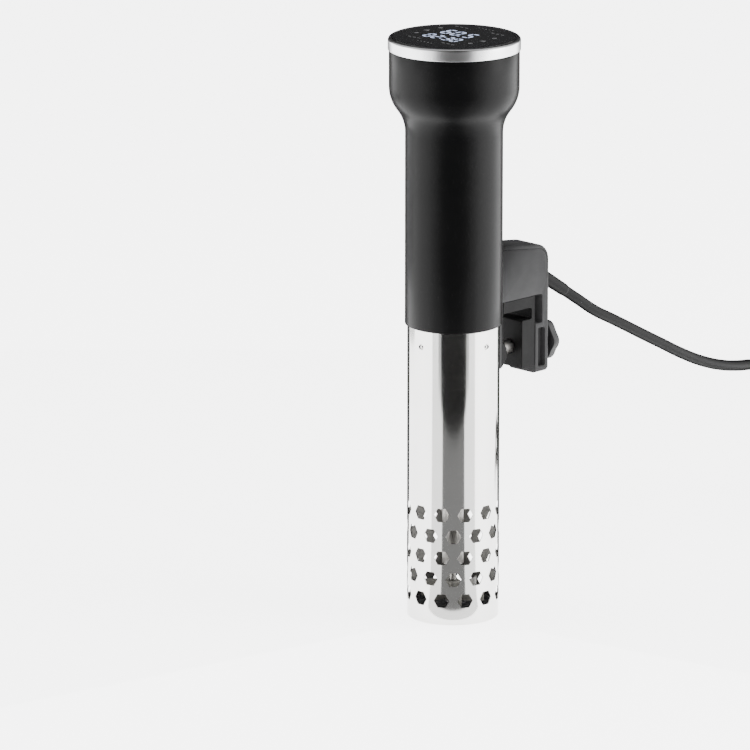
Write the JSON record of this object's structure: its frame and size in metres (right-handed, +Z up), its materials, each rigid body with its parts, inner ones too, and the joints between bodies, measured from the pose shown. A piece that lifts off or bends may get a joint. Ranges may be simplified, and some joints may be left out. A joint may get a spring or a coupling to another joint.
{
  "type": "sous vide circulator",
  "caption": "Upright clamp-on water heater and pump: black body with a wider head, round glass display, pull-off perforated steel sleeve, screw clamp and mains cord.",
  "frame": {"origin": "centre of the base cap's underside, on the tube's axis", "axes": "+Z up along the tube, -Y the way the display faces, +Y the clamp and cord at the back"},
  "size_m": [0.1101, 0.5198, 0.382],
  "materials": {
    "satin_black": "satin soft-touch black",
    "satin_ring": "fine satin",
    "black_glass": "gloss black glass with a lit readout behind it",
    "polished_steel": "polished",
    "wet_steel": "plain drawn steel",
    "bracket_grey": "fine matte moulding",
    "knob_grey": "fine matte moulding",
    "jaw_rubber": "matte",
    "cord_rubber": "satin",
    "plug_metal": "bright plated",
    "brass": "machined",
    "dark_plastic": "fine matte moulding",
    "white_nylon": "matte moulding",
    "board_green": "solder mask",
    "bare_aluminium": "as extruded",
    "seal_rubber": "matte"
  },
  "bodies": {
    "housing": {"housing_shell": "satin_black", "bezel_ring": "satin_ring", "display_glass": "black_glass", "heater_coil": "wet_steel", "temperature_probe": "wet_steel", "low_level_probe": "wet_steel", "high_level_probe": "wet_steel", "shaft_guard_tube": "wet_steel", "upper_bearing": "wet_steel", "motor_body": "wet_steel", "clamp_bracket": "bracket_grey", "jaw_liner": "jaw_rubber", "inner_jaw_pad": "jaw_rubber", "strain_relief": "cord_rubber", "power_cord": "cord_rubber", "cord_coil": "cord_rubber", "cord_tail": "cord_rubber", "cord_tie": "cord_rubber", "plug_body": "cord_rubber", "plug_pin_1": "plug_metal", "plug_pin_2": "plug_metal", "thread_insert": "brass", "led_display": "dark_plastic", "transformer": "dark_plastic", "relay": "dark_plastic", "capacitor": "dark_plastic", "inner_frame": "white_nylon", "partition_flange": "white_nylon", "lower_bush": "white_nylon", "power_board": "board_green", "display_board": "board_green", "heat_sink": "bare_aluminium", "motor_bracket": "bare_aluminium", "display_gasket": "seal_rubber", "shaft_seal": "seal_rubber", "flange_seal": "seal_rubber"},
    "drive": {"drive_shaft": "wet_steel", "motor_shaft": "wet_steel", "shaft_coupling": "bare_aluminium", "impeller": "white_nylon", "cooling_fan": "dark_plastic"},
    "sleeve": {"perforated_sleeve": "polished_steel", "base_cap": "dark_plastic"},
    "jaw_slider": {"pressure_pad": "jaw_rubber"},
    "screw": {"clamp_screw": "polished_steel", "clamp_knob": "knob_grey", "knob_cap": "knob_grey"}
  },
  "joints": [
    {"name": "impeller_spin", "type": "hinge", "parent": "housing", "child": "drive", "pos_m": [0, 0, 0.2], "axis": [0, 0, 1], "continuous": true},
    {"name": "sleeve_pull_off", "type": "slide", "parent": "housing", "child": "sleeve", "axis": [0, 0, -1], "range_m": [0, 0.2]},
    {"name": "clamp_screw_travel", "type": "slide", "parent": "housing", "child": "jaw_slider", "axis": [0, 1, 0], "range_m": [-0.002, 0.0075]},
    {"name": "clamp_knob_turn", "type": "hinge", "parent": "jaw_slider", "child": "screw", "pos_m": [0, 0.06, 0.1693], "axis": [0, 1, 0], "range_deg": [-360, 1350]}
  ],
  "couplings": [
    {"joint": "clamp_screw_travel", "follows": "clamp_knob_turn", "m_per_rad": 0.00031831}
  ]
}
